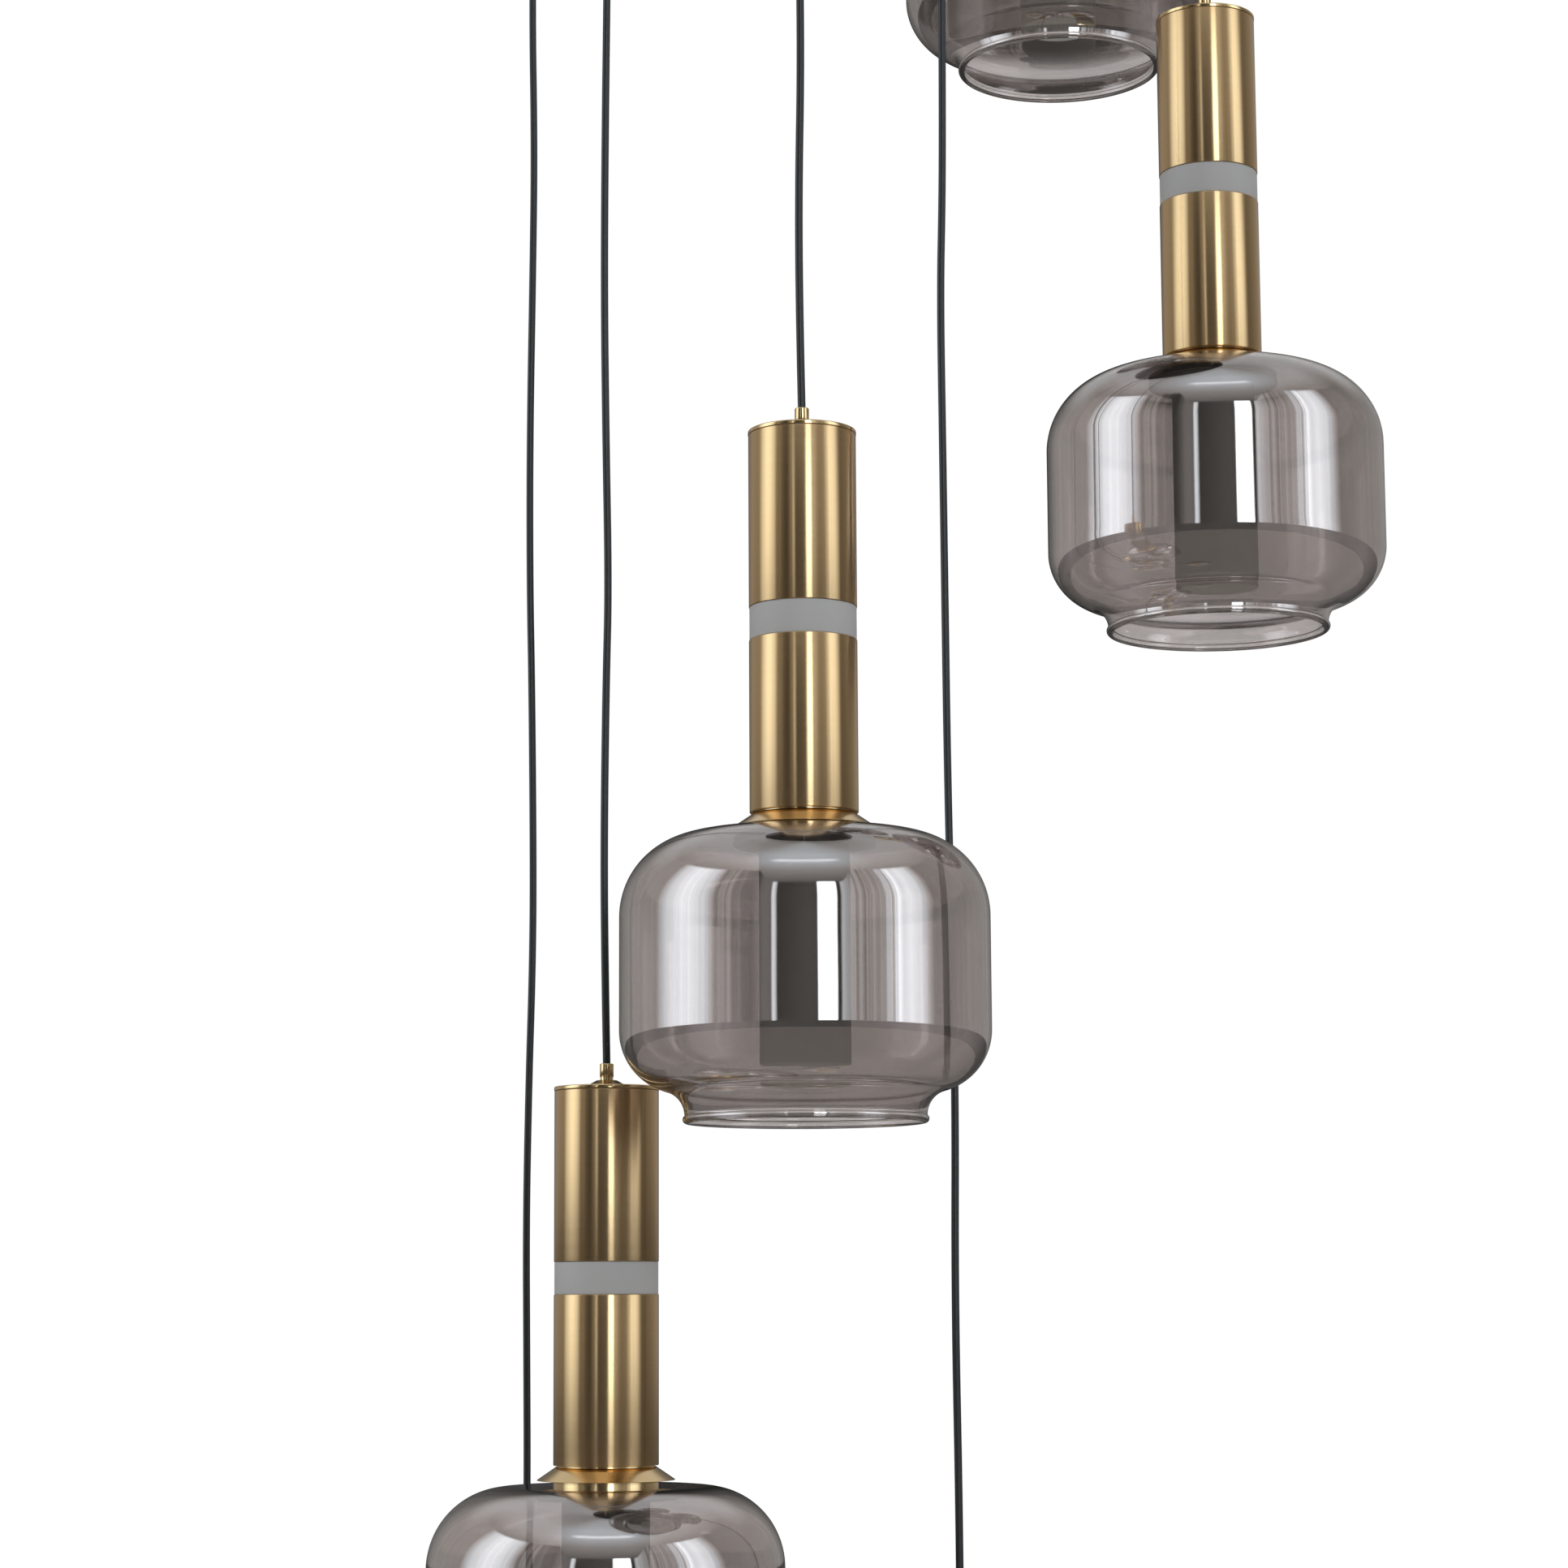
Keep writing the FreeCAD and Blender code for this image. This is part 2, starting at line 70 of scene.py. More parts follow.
# Each cord hangs almost straight. These are its slight waves: how far down the cord, as a share of
# its height, and how far it lies aside in X, in metres.
CORD_WAVES = {
    1: [],
    2: [(0.246, 0.0006), (0.499, -0.0005), (0.753, 0.0004)],
    3: [(0.159, 0.0007), (0.323, -0.0005), (0.487, 0.0004), (0.639, -0.0003), (0.756, 0.0008),
        (0.856, -0.0012), (0.943, -0.0009)],
    4: [(0.112, 0.0005), (0.228, -0.0006), (0.352, 0.0003), (0.467, -0.0010), (0.547, -0.0020),
        (0.622, -0.0023), (0.695, -0.0011), (0.768, 0.0006), (0.815, -0.0008), (0.887, -0.0018),
        (0.943, -0.0014)],
    5: [(0.087, 0.0005), (0.171, -0.0006), (0.249, 0.0002), (0.326, -0.0009), (0.389, 0.0011),
        (0.442, 0.0004), (0.514, -0.0010), (0.576, -0.0005), (0.616, 0.0010), (0.697, 0.0026),
        (0.737, 0.0021), (0.776, 0.0004), (0.835, -0.0010), (0.887, -0.0002), (0.945, 0.0006)],
    6: [(0.072, -0.0004), (0.141, 0.0006), (0.204, -0.0002), (0.268, 0.0005), (0.317, 0.0003),
        (0.365, -0.0006), (0.397, -0.0026), (0.444, -0.0022), (0.491, -0.0019), (0.552, -0.0015),
        (0.601, -0.0002), (0.651, 0.0009), (0.710, -0.0008), (0.782, 0.0005), (0.865, -0.0005),
        (0.940, 0.0004)],
}

# Play, walls, edges and hidden sizes of a lamp's pieces, which nobody changes, in metres
SPIGOT_PLAY = 0.0001
RING_EDGE = 0.0005
CAP_SPIGOT_WALL = 0.002
CAP_HOLE_R = 0.00355
SLEEVE_STEM_R = 0.0035
SLEEVE_STEM_GRIP = 0.008
SLEEVE_MOUTH_PLAY = 0.00045
SLEEVE_FOOT_EDGE = 0.0003
SLEEVE_TOP_EDGE = 0.0007
SLEEVE_FLARE_W = 0.0003
SLEEVE_FLARE_H = 0.0004
HOLDER_ROD_HOLE_R = 0.0061
HOLDER_WEB = 0.002
HOLDER_RECESS = 0.0008
HOLDER_EDGE = 0.0008
HOLDER_RIM_EDGE = 0.0002
HOLDER_SEAT_R = 0.030
HOLDER_STEM_H = 0.011
HOLDER_STEM_WALL = 0.0044
CUP_CORNER_R = 0.002
CUP_COLLAR_TOP_EDGE = 0.0004
CUP_COLLAR_EDGE = 0.0008

# Facets round a turned piece
ROUND_STEPS = 128
CUP_STEPS = 96
SLEEVE_STEPS = 48

# Corners closer than the first of these are one, and nearer to the axis than the second they lie
# on it, in metres.
MERGE_GAP = 1e-6
ON_AXIS = 1e-7

# Depth of brush marks, of the grain of other surfaces and of the waves of blown glass, in metres
BRUSH_DEPTH = 0.0002
GRAIN_DEPTH = 0.0001
GLASS_WAVE_DEPTH = 0.002
# How large those patterns are, in millimetres: brush marks along their way, and clouds in the
# lacquer and waves of the glass in X, Y and Z
BRUSH_MARK_MM = 71.43
CLOUD_MM = (33.33, 33.33, 111.1)
GLASS_WAVE_MM = (62.5, 62.5, 111.1)
# The clouds' share in the tint of brass, and the brush marks have the rest
CLOUD_SHARE = 0.35

# The share of light that each face of the half-mirrored glass lets by, where its film is thick
# and where it is thin
FILM_THICK = 0.72
FILM_THIN = 0.79

# The studio's walls round the pendant: an azimuth in degrees (0 is the camera's side, 90 is +X)
# and the brightness there, which runs evenly from one stop to the next
WALLS = (
    (-180.0, 0.02), (-156.0, 0.24), (-142.0, 0.38), (-104.0, 0.35),
    # left softbox with its curtain
    (-100.0, 0.95), (-87.0, 1.85), (-77.0, 1.98), (-66.0, 1.40), (-61.0, 0.75), (-57.0, 0.08),
    (-50.0, 0.42), (-45.0, 0.12), (-32.0, 0.04), (-25.5, 0.30),
    # gap beside the camera, and the dark behind it
    (-20.1, 0.25), (-19.8, 1.90), (-18.4, 1.90), (-18.0, 0.03), (2.0, 0.10), (7.4, 0.08),
    # window
    (7.8, 5.00), (18.4, 5.00), (19.0, 0.02), (21.4, 0.02),
    # curtains
    (22.2, 1.10), (31.0, 0.35), (48.0, 0.35),
    # right softbox
    (60.0, 1.85), (74.0, 1.70), (86.0, 0.15), (150.0, 0.38), (180.0, 0.02),
)

# The ceiling above the walls: an elevation in degrees and the brightness there
CEILING = ((-90.0, 0.02), (20.0, 0.02), (30.0, 0.16), (43.0, 0.31), (56.0, 0.60), (66.0, 0.65),
           (90.0, 0.45))

# A ramp holds no more than 1, so it keeps brightness as a share of this.
BRIGHTEST = 5.0

# The studio's dim walls are warm and its lights are cool, and the change from the one to the other
# runs between these two brightnesses.
WARM_WALL = (1.03, 1.00, 0.96, 1.0)
COOL_LIGHT = (0.93, 1.02, 1.09, 1.0)
WARM_TO_COOL = (0.30, 1.00)
# What the camera sees past the pendant: a little over full white, so that no grey is left
PAPER_WHITE = (1.02, 1.02, 1.02, 1.0)

# Soft steps from 0 to 1 by how far a direction lies aside of the camera's side
ASIDE_STEPS = {
    "sides": (math.radians(22.0), math.radians(34.0)),
    "softbox": (math.radians(54.0), math.radians(64.0)),
    "facing": (math.radians(70.0), math.radians(12.0)),
    "behind": (math.radians(115.0), math.radians(150.0)),
}
# Soft steps by the sine of a direction's elevation: up the backdrop, and into and out of the beam
RISE_STEPS = {
    "high": (math.sin(math.radians(24.0)), math.sin(math.radians(40.0))),
    "beam_start": (0.815, 0.835),
    "beam_end": (0.848, 0.868),
}
# How softly the walls end at their foot and at their top, as a sine
FOOT_SOFTNESS = 0.008
TOP_SOFTNESS = 0.015
# Curtain folds: how many go round, and how deep they are on the softboxes, as a share
FOLD_COUNT = 13.0
SOFTBOX_FOLDS = 0.15
# Curtain folds come from noise, of which this range runs from one fold's depth to its top.
FOLD_RANGE = (0.35, 0.65)
# Straight through the glass the camera sees paper white, from a low to a high elevation. Each end
# is a soft step, as sines.
WHITE_FROM = (-0.60, -0.45)
WHITE_TO = (0.325, 0.27)

# The floor: its radius, how far it lies under the lowest lamp, in metres, and its glow
FLOOR_R = 6.0
FLOOR_DROP = 0.4
FLOOR_GLOW = 0.25

# The width of the camera's sensor in millimetres, and how far the camera sees, in metres
SENSOR_MM = 36.0
CLIP_END = 60.0


def length(label, text, millimetres):
    """A size that a user can change, kept in metres."""
    return bpy.props.FloatProperty(name=label, description=text, default=millimetres / 1000.0,
                                   min=0.0, precision=4, unit="LENGTH", subtype="DISTANCE")


def linear(code):
    """An sRGB hex colour as linear red, green, blue and alpha."""
    levels = [int(code[i:i + 2], 16) / 255.0 for i in (0, 2, 4)]
    curve = [c / 12.92 if c <= 0.04045 else ((c + 0.055) / 1.055) ** 2.4 for c in levels]
    return (*curve, 1.0)


def colour(label, text, code):
    """A colour that a user can change."""
    return bpy.props.FloatVectorProperty(name=label, description=text, default=linear(code),
                                         size=4, min=0.0, max=1.0, subtype="COLOR")


class PendantSizes(bpy.types.PropertyGroup):
    """Sizes of one lamp and of its cord."""

    cord_d: length("Cord", "Diameter of the cord", 4.5)
    tube_d: length("Tube", "Outside diameter of the brass tubes", 60.0)
    tube_wall: length("Tube wall", "Wall of the brass tubes", 1.5)
    lower_tube_h: length("Lower tube", "Height of the lower tube", 96.0)
    ring_h: length("Ring", "Height of the frosted ring that shows", 18.4)
    upper_tube_h: length("Upper tube", "Height of the upper tube", 97.5)
    edge_r: length("Edge", "Rounding of the turned edges", 0.4)
    spigot_h: length("Spigot", "Length of the spigots inside the tubes", 8.0)
    ring_d: length("Ring diameter", "Outside diameter of the frosted ring", 59.4)
    ring_bore_d: length("Ring bore", "Bore of the frosted ring", 50.0)
    cap_d: length("Cap", "Diameter of the cap disc", 60.4)
    cap_t: length("Cap thickness", "Thickness of the cap disc", 2.5)
    cone_base_d: length("Cone base", "Foot of the low cone on the cap", 25.0)
    cone_top_d: length("Cone top", "Top of the low cone on the cap", 12.0)
    cone_h: length("Cone height", "Height of the low cone on the cap", 3.6)
    neck_d: length("Sleeve neck", "Neck under the cord sleeve", 7.4)
    neck_h: length("Sleeve neck height", "Height of that neck", 2.0)
    sleeve_d: length("Sleeve", "Diameter of the cord sleeve", 8.0)
    sleeve_h: length("Sleeve height", "Height of the cord sleeve", 7.7)
    holder_neck_d: length("Holder neck", "Recess between tube and collar", 55.2)
    holder_top_d: length("Holder top", "Upper diameter of the flared collar", 57.0)
    holder_d: length("Holder rim", "Rim of the flared collar", 78.6)
    holder_h: length("Holder height", "Height of the flared collar", 8.3)
    stem_d: length("Holder stem", "Stem that goes down through the glass", 44.8)
    glass_t: length("Glass", "Wall of the glass shade", 2.5)
    shade_d: length("Shade", "Largest diameter of the glass shade", 203.0)
    shade_top: length("Shade top", "Flat top of the shade, below the lower tube", 11.8)
    shade_bottom: length("Shade bottom", "Lip of the shade, below the lower tube", 170.0)
    shade_hole_d: length("Shade hole", "Hole in the top of the shade", 47.0)
    shoulder_r: length("Shoulder", "Radius of the shade's shoulder", 45.5)
    corner_r: length("Lower corner", "Radius of the shade's lower corner", 34.0)
    mouth_d: length("Mouth", "Outside diameter of the shade's neck", 132.0)
    mouth_r: length("Mouth curve", "Radius of the hollow above the lip", 13.9)
    lip_bead_d: length("Lip", "Thickness of the bead round the mouth", 4.6)
    diffuser_d: length("Diffuser", "Diameter of the frosted cup", 50.0)
    diffuser_wall: length("Diffuser wall", "Wall of the frosted cup", 2.5)
    diffuser_bottom: length("Diffuser bottom", "Bottom of the cup, below the lower tube", 141.0)
    collar_t: length("Diffuser collar", "Thickness of the cup's wide collar", 2.5)


class PendantFinishes(bpy.types.PropertyGroup):
    """Colours of the finishes."""

    brass: colour("Brass", "Brushed and lacquered brass of the tubes", "E2C399")
    brass_shade: colour("Brass streaks", "Darker streaks of the brushing", "CFAC78")
    bright_brass: colour("Bright brass", "Polished brass of cap, sleeve and collar", "E6C88C")
    smoke: colour("Smoke", "Tint of the smoked glass", "FFF8F6")
    frost: colour("Frost", "Frosted acrylic of the ring", "BDBAB9")
    cup_frost: colour("Cup", "Frosted acrylic of the cup inside the glass", "B6B8B4")
    cord_black: colour("Cord", "Black of the cord", "26282B")
    canopy_black: colour("Canopy", "Black powder coat of the canopy", "1C1C1D")
    steel: colour("Steel", "Zinc-plated steel", "B0ADA8")
    case_white: colour("Case", "White polycarbonate", "E8E7E2")
    terminal: colour("Terminal", "Natural polyamide", "DCD8C8")
    aluminium: colour("Aluminium", "Turned aluminium", "C4C6C8")
    floor: colour("Floor", "Pale floor", "F4EBE1")


class PendantStudio(bpy.types.PropertyGroup):
    """Light and camera."""

    ground: bpy.props.FloatProperty(name="Ground", description="Brightness below the walls",
                                    default=0.08, min=0.0)
    folds: bpy.props.FloatProperty(name="Folds", description="How far curtain folds dim the walls",
                                   default=0.60, min=0.0, max=1.0)
    ceiling_lift: bpy.props.FloatProperty(
        name="Ceiling lift", description="How much brighter the ceiling is over the camera",
        default=0.7, min=0.0)
    backdrop: bpy.props.FloatProperty(name="Backdrop",
                                      description="Brightness high up behind the pendant",
                                      default=0.65, min=0.0)
    beam: bpy.props.FloatProperty(name="Beam",
                                  description="Brightness of the beam above the camera",
                                  default=2.0, min=0.0)
    wall_foot: bpy.props.FloatProperty(name="Wall foot", description="Where the walls end below",
                                       default=math.radians(-2.5), subtype="ANGLE")
    wall_top: bpy.props.FloatProperty(name="Wall top", description="Where the walls end above",
                                      default=math.radians(42.0), subtype="ANGLE")
    window_top: bpy.props.FloatProperty(
        name="Window top", description="Where the window beside the camera ends above",
        default=math.radians(26.5), subtype="ANGLE")
    lens: bpy.props.FloatProperty(name="Lens", description="Focal length in millimetres",
                                  default=83.85, min=10.0)
    pitch: bpy.props.FloatProperty(name="Pitch", description="How far the camera looks up",
                                   default=math.radians(8.077), subtype="ANGLE")
    roll: bpy.props.FloatProperty(name="Roll", description="Turn about the camera's own axis",
                                  default=math.radians(-0.295), subtype="ANGLE")
    camera_at: bpy.props.FloatVectorProperty(name="Camera", description="Where the camera stands",
                                             default=(-0.045, -2.190, -1.400), size=3,
                                             subtype="TRANSLATION", unit="LENGTH")


# Nodes and materials

def add_node(tree, kind, sockets=(), links=(), **settings):
    """Adds a node, sets its inputs, and joins its inputs to outputs of other nodes."""
    made = tree.nodes.new(kind)
    for name, value in settings.items():
        setattr(made, name, value)
    for name, value in dict(sockets).items():
        made.inputs[name].default_value = value
    for name, output in dict(links).items():
        tree.links.new(output, made.inputs[name])
    return made


def new_material(name):
    """A node material with only its output."""
    material = bpy.data.materials.new(name)
    material.use_nodes = True
    tree = material.node_tree
    tree.nodes.clear()
    output = add_node(tree, "ShaderNodeOutputMaterial")
    return material, tree, output


def object_pattern(tree, size_mm):
    """Object coordinates for a pattern of this size in X, Y and Z."""
    coords = add_node(tree, "ShaderNodeTexCoord")
    return add_node(tree, "ShaderNodeMapping", {"Scale": [1000.0 / mm for mm in size_mm]},
                    {"Vector": coords.outputs["Object"]})


def surface(tree, pattern, roughness, least, most, bump, depth):
    """A roughness that varies after a pattern between two shares of itself, and its relief."""
    gloss = add_node(tree, "ShaderNodeMapRange",
                     {"To Min": roughness * least, "To Max": roughness * most},
                     {"Value": pattern.outputs["Fac"]})
    relief = add_node(tree, "ShaderNodeBump", {"Strength": bump, "Distance": depth},
                      {"Height": pattern.outputs["Fac"]})
    return {"Roughness": gloss.outputs["Result"], "Normal": relief.outputs["Normal"]}


def brushed_metal(name, light, dark, roughness, spread, line_mm, bump):
    """Metal brushed round its axis: lines of line_mm across, and gloss drawn out upwards. Broad
    clouds of colour come from the lacquer."""
    material, tree, output = new_material(name)
    lines = object_pattern(tree, (BRUSH_MARK_MM, BRUSH_MARK_MM, line_mm))
    streaks = add_node(tree, "ShaderNodeTexNoise", {"Scale": 1.0, "Detail": 3.0, "Roughness": 0.6},
                       {"Vector": lines.outputs["Vector"]})
    cloud = object_pattern(tree, CLOUD_MM)
    clouds = add_node(tree, "ShaderNodeTexNoise", {"Scale": 1.0, "Detail": 2.0},
                      {"Vector": cloud.outputs["Vector"]})
    both = add_node(tree, "ShaderNodeMath", {1: CLOUD_SHARE}, {0: clouds.outputs["Fac"]},
                    operation="MULTIPLY")
    amount = add_node(tree, "ShaderNodeMath", {1: 1.0 - CLOUD_SHARE},
                      {0: streaks.outputs["Fac"], 2: both.outputs[0]}, operation="MULTIPLY_ADD")
    tint = add_node(tree, "ShaderNodeMix", {"A": dark, "B": light},
                    {"Factor": amount.outputs[0]}, data_type="RGBA")
    around = add_node(tree, "ShaderNodeTangent", direction_type="UV_MAP", uv_map="Around")
    shader = add_node(tree, "ShaderNodeBsdfPrincipled",
                      {"Metallic": 1.0, "Anisotropic": spread, "Anisotropic Rotation": 0.25},
                      {"Base Color": tint.outputs["Result"],
                       "Tangent": around.outputs["Tangent"],
                       **surface(tree, streaks, roughness, 0.9, 1.1, bump, BRUSH_DEPTH)})
    tree.links.new(shader.outputs["BSDF"], output.inputs["Surface"])
    return material


def plain_metal(name, tone, roughness, grain_mm, bump):
    """Turned, plated or rolled metal with a fine grain of grain_mm."""
    material, tree, output = new_material(name)
    fine = object_pattern(tree, (grain_mm,) * 3)
    grain = add_node(tree, "ShaderNodeTexNoise", {"Scale": 1.0, "Detail": 4.0},
                     {"Vector": fine.outputs["Vector"]})
    shader = add_node(tree, "ShaderNodeBsdfPrincipled", {"Base Color": tone, "Metallic": 1.0},
                      surface(tree, grain, roughness, 0.8, 1.25, bump, GRAIN_DEPTH))
    tree.links.new(shader.outputs["BSDF"], output.inputs["Surface"])
    return material


def plastic_or_paint(name, tone, roughness, grain_mm, bump, subsurface=0.0):
    """Moulded plastic or a coat of paint, with a fine surface grain of grain_mm."""
    material, tree, output = new_material(name)
    fine = object_pattern(tree, (grain_mm,) * 3)
    grain = add_node(tree, "ShaderNodeTexNoise", {"Scale": 1.0, "Detail": 3.0},
                     {"Vector": fine.outputs["Vector"]})
    paler = [min(1.0, c * 1.06) for c in tone[:3]] + [1.0]
    darker = [c * 0.94 for c in tone[:3]] + [1.0]
    tint = add_node(tree, "ShaderNodeMix", {"A": darker, "B": paler},
                    {"Factor": grain.outputs["Fac"]}, data_type="RGBA")
    shader = add_node(tree, "ShaderNodeBsdfPrincipled",
                      {"IOR": 1.5, "Subsurface Weight": subsurface, "Subsurface Scale": 0.004,
                       "Subsurface Radius": (1.0, 1.0, 1.0)},
                      {"Base Color": tint.outputs["Result"],
                       **surface(tree, grain, roughness, 0.85, 1.15, bump, GRAIN_DEPTH)})
    tree.links.new(shader.outputs["BSDF"], output.inputs["Surface"])
    return material


def smoked_glass(name, tint):
    """Blown soda-lime glass with a half-mirrored metal film: clear, grey and strongly mirroring.
    The film and the surface vary a little, as blown glass does."""
    material, tree, output = new_material(name)
    broad = object_pattern(tree, GLASS_WAVE_MM)
    swell = add_node(tree, "ShaderNodeTexNoise", {"Scale": 1.0, "Detail": 1.0},
                     {"Vector": broad.outputs["Vector"]})
    relief = add_node(tree, "ShaderNodeBump", {"Strength": 0.10, "Distance": GLASS_WAVE_DEPTH},
                      {"Height": swell.outputs["Fac"]})
    film = add_node(tree, "ShaderNodeMapRange", {"To Min": FILM_THICK, "To Max": FILM_THIN},
                    {"Value": swell.outputs["Fac"]})
    tone = add_node(tree, "ShaderNodeMix", {"A": (0.0, 0.0, 0.0, 1.0), "B": tint},
                    {"Factor": film.outputs["Result"]}, data_type="RGBA")
    shader = add_node(tree, "ShaderNodeBsdfPrincipled",
                      {"Metallic": 0.32, "Roughness": 0.0, "IOR": 1.5, "Transmission Weight": 1.0},
                      {"Base Color": tone.outputs["Result"], "Normal": relief.outputs["Normal"]})
    tree.links.new(shader.outputs["BSDF"], output.inputs["Surface"])
    return material


MATERIALS = {}


def make_materials(finishes):
    """Every finish of the pendant, named for what it is made of."""
    # Real brush lines and grain are too fine to show, so they are drawn 0.4 to 0.8 mm coarse.
    MATERIALS.update({
        # Brushed round the tube and lacquered: upright reflections stay crisp, and the brush lines
        # draw them out up and down.
        "tube_brass": brushed_metal("lacquered_brushed_brass", finishes.brass,
                                    finishes.brass_shade, roughness=0.24, spread=0.95,
                                    line_mm=0.5, bump=0.06),
        # Turned and polished: clearer reflections with faint tool marks.
        "cap_brass": brushed_metal("polished_turned_brass", finishes.bright_brass,
                                   finishes.brass, roughness=0.15, spread=0.4, line_mm=0.5,
                                   bump=0.02),
        # Blown and metallised: grey to look through, and a mirror for what is bright.
        "smoked_glass": smoked_glass("half_mirrored_smoked_glass", finishes.smoke),
        # Sand-blasted acrylic: milky and matt.
        "frosted_acrylic": plastic_or_paint("frosted_acrylic", finishes.frost, roughness=0.55,
                                            grain_mm=0.4, bump=0.08, subsurface=0.35),
        # The same acrylic, moulded thinner: a softer, even grey behind the glass.
        "frosted_cup": plastic_or_paint("frosted_acrylic_cup", finishes.cup_frost,
                                        roughness=0.50, grain_mm=0.4, bump=0.05,
                                        subsurface=0.20),
        # Extruded PVC sheath: black with a soft sheen.
        "black_pvc": plastic_or_paint("black_pvc_cord", finishes.cord_black, roughness=0.32,
                                      grain_mm=0.8, bump=0.01),
        # Turned aluminium: pale, with fine tool marks.
        "core_aluminium": plain_metal("turned_aluminium", finishes.aluminium, roughness=0.32,
                                      grain_mm=0.5, bump=0.10),
        # Zinc plating on rolled steel: a dull, slightly spangled grey.
        "bracket_steel": plain_metal("zinc_plated_steel", finishes.steel, roughness=0.38,
                                     grain_mm=0.8, bump=0.20),
        # Moulded polycarbonate: off-white with a fine texture.
        "driver_case": plastic_or_paint("white_polycarbonate", finishes.case_white,
                                        roughness=0.45, grain_mm=0.8, bump=0.15),
        # Moulded polyamide: cream and nearly matt.
        "terminal_plastic": plastic_or_paint("natural_polyamide", finishes.terminal,
                                             roughness=0.50, grain_mm=0.8, bump=0.10),
        # Powder coat on steel: black, satin, with a faint orange peel.
        "canopy_black": plastic_or_paint("black_powder_coated_steel", finishes.canopy_black,
                                         roughness=0.32, grain_mm=1.5, bump=0.12),
    })


# Shapes

def lamp_base(number):
    """The middle of the lower end of a lamp's lower tube."""
    low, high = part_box("lower_tube_%d" % number)
    return Vector(((low.x + high.x) / 2.0, (low.y + high.y) / 2.0, low.z))


def draw_outline(bm, start, moves):
    """Draws an outline in the XZ plane. A move is a point (radius, height), or an arc given as
    its centre's radius and height, its degrees (positive turns anticlockwise) and its number of
    steps."""
    last = bmesh.ops.create_vert(bm, co=(start[0], 0.0, start[1]))["vert"][0]
    for move in moves:
        if len(move) == 2:
            grown = bmesh.ops.extrude_vert_indiv(bm, verts=[last])["verts"]
            target = Vector((move[0], 0.0, move[1]))
            bmesh.ops.translate(bm, verts=grown, vec=target - last.co)
            last = grown[0]
        else:
            radius, height, degrees, steps = move
            side = -1.0 if degrees > 0 else 1.0
            swept = bmesh.ops.spin(bm, geom=[last], cent=(radius, 0.0, height),
                                   axis=(0.0, side, 0.0), angle=math.radians(abs(degrees)),
                                   steps=steps)
            last = swept["geom_last"][0]


def lathe(bm, steps):
    """Turns an outline once round the Z axis, closes its poles and points its faces outwards."""
    bmesh.ops.remove_doubles(bm, verts=bm.verts[:], dist=MERGE_GAP)
    bmesh.ops.spin(bm, geom=bm.verts[:] + bm.edges[:], cent=(0.0, 0.0, 0.0),
                   axis=(0.0, 0.0, 1.0), angle=2.0 * math.pi, steps=steps, use_merge=True)
    bmesh.ops.remove_doubles(bm, verts=bm.verts[:], dist=MERGE_GAP)
    bmesh.ops.recalc_face_normals(bm, faces=bm.faces[:])


def wrap_around(bm):
    """A UV map with U round the Z axis and V up it."""
    layer = bm.loops.layers.uv.new("Around")
    for face in bm.faces:
        middle = face.calc_center_median()
        seen = math.atan2(middle.y, middle.x)
        for loop in face.loops:
            at = loop.vert.co
            angle = math.atan2(at.y, at.x) if at.xy.length > ON_AXIS else seen
            turn = (angle - seen + math.pi) % (2.0 * math.pi) - math.pi
            loop[layer].uv = ((seen + turn) / (2.0 * math.pi), at.z)


def add_piece(name, bm, material, body, nodes, sharp_degrees):
    """Makes a bmesh an object of the pendant that rides on a body and stands for CAD nodes."""
    mesh = bpy.data.meshes.new(name)
    bm.to_mesh(mesh)
    bm.free()
    mesh.shade_smooth()
    mesh.set_sharp_from_angle(angle=math.radians(sharp_degrees))
    mesh.materials.append(MATERIALS[material])
    piece = bpy.data.objects.new(name, mesh)
    bpy.context.scene.collection.objects.link(piece)
    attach(piece, body)
    if nodes:
        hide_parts(*nodes)


def turned_piece(name, outline, material, number, node, steps=ROUND_STEPS, sharp_degrees=35.0):
    """A piece of a lamp that is turned from one outline, and stands for a CAD node or for none."""
    bm = bmesh.new()
    draw_outline(bm, *outline)
    lathe(bm, steps)
    wrap_around(bm)
    bmesh.ops.translate(bm, verts=bm.verts[:], vec=lamp_base(number))
    add_piece("%s_%d" % (name, number), bm, material, "lamp_%d" % number,
              ["%s_%d" % (node, number)] if node else (), sharp_degrees)


def finish_node(name, material):
    """Gives a CAD node, whose shape stays, a procedural material."""
    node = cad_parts[name]
    slots = node.data.materials
    if not len(slots):
        slots.append(MATERIALS[material])
    for i in range(len(slots)):
        slots[i] = MATERIALS[material]


def spigot_radius(s):
    """The outside of every spigot that goes into a tube."""
    return s.tube_d / 2.0 - s.tube_wall - SPIGOT_PLAY


def tube_outline(s, bottom, height):
    """A tube with rounded outer edges."""
    r = s.tube_d / 2.0
    bore = r - s.tube_wall
    e = s.edge_r
    top = bottom + height
    return (bore, bottom), [
        (r - e, bottom), (r - e, bottom + e, 90.0, 3),
        (r, top - e), (r - e, top - e, 90.0, 3),
        (bore, top), (bore, bottom),
    ]


def ring_outline(s):
    """The frosted ring with a spigot into each tube."""
    r = s.ring_d / 2.0
    spigot = spigot_radius(s)
    bore = s.ring_bore_d / 2.0
    bottom = s.lower_tube_h
    top = bottom + s.ring_h
    e = RING_EDGE
    return (bore, bottom - s.spigot_h), [
        (spigot, bottom - s.spigot_h), (spigot, bottom),
        (r - e, bottom), (r - e, bottom + e, 90.0, 4),
        (r, top - e), (r - e, top - e, 90.0, 4),
        (spigot, top), (spigot, top + s.spigot_h),
        (bore, top + s.spigot_h), (bore, bottom - s.spigot_h),
    ]


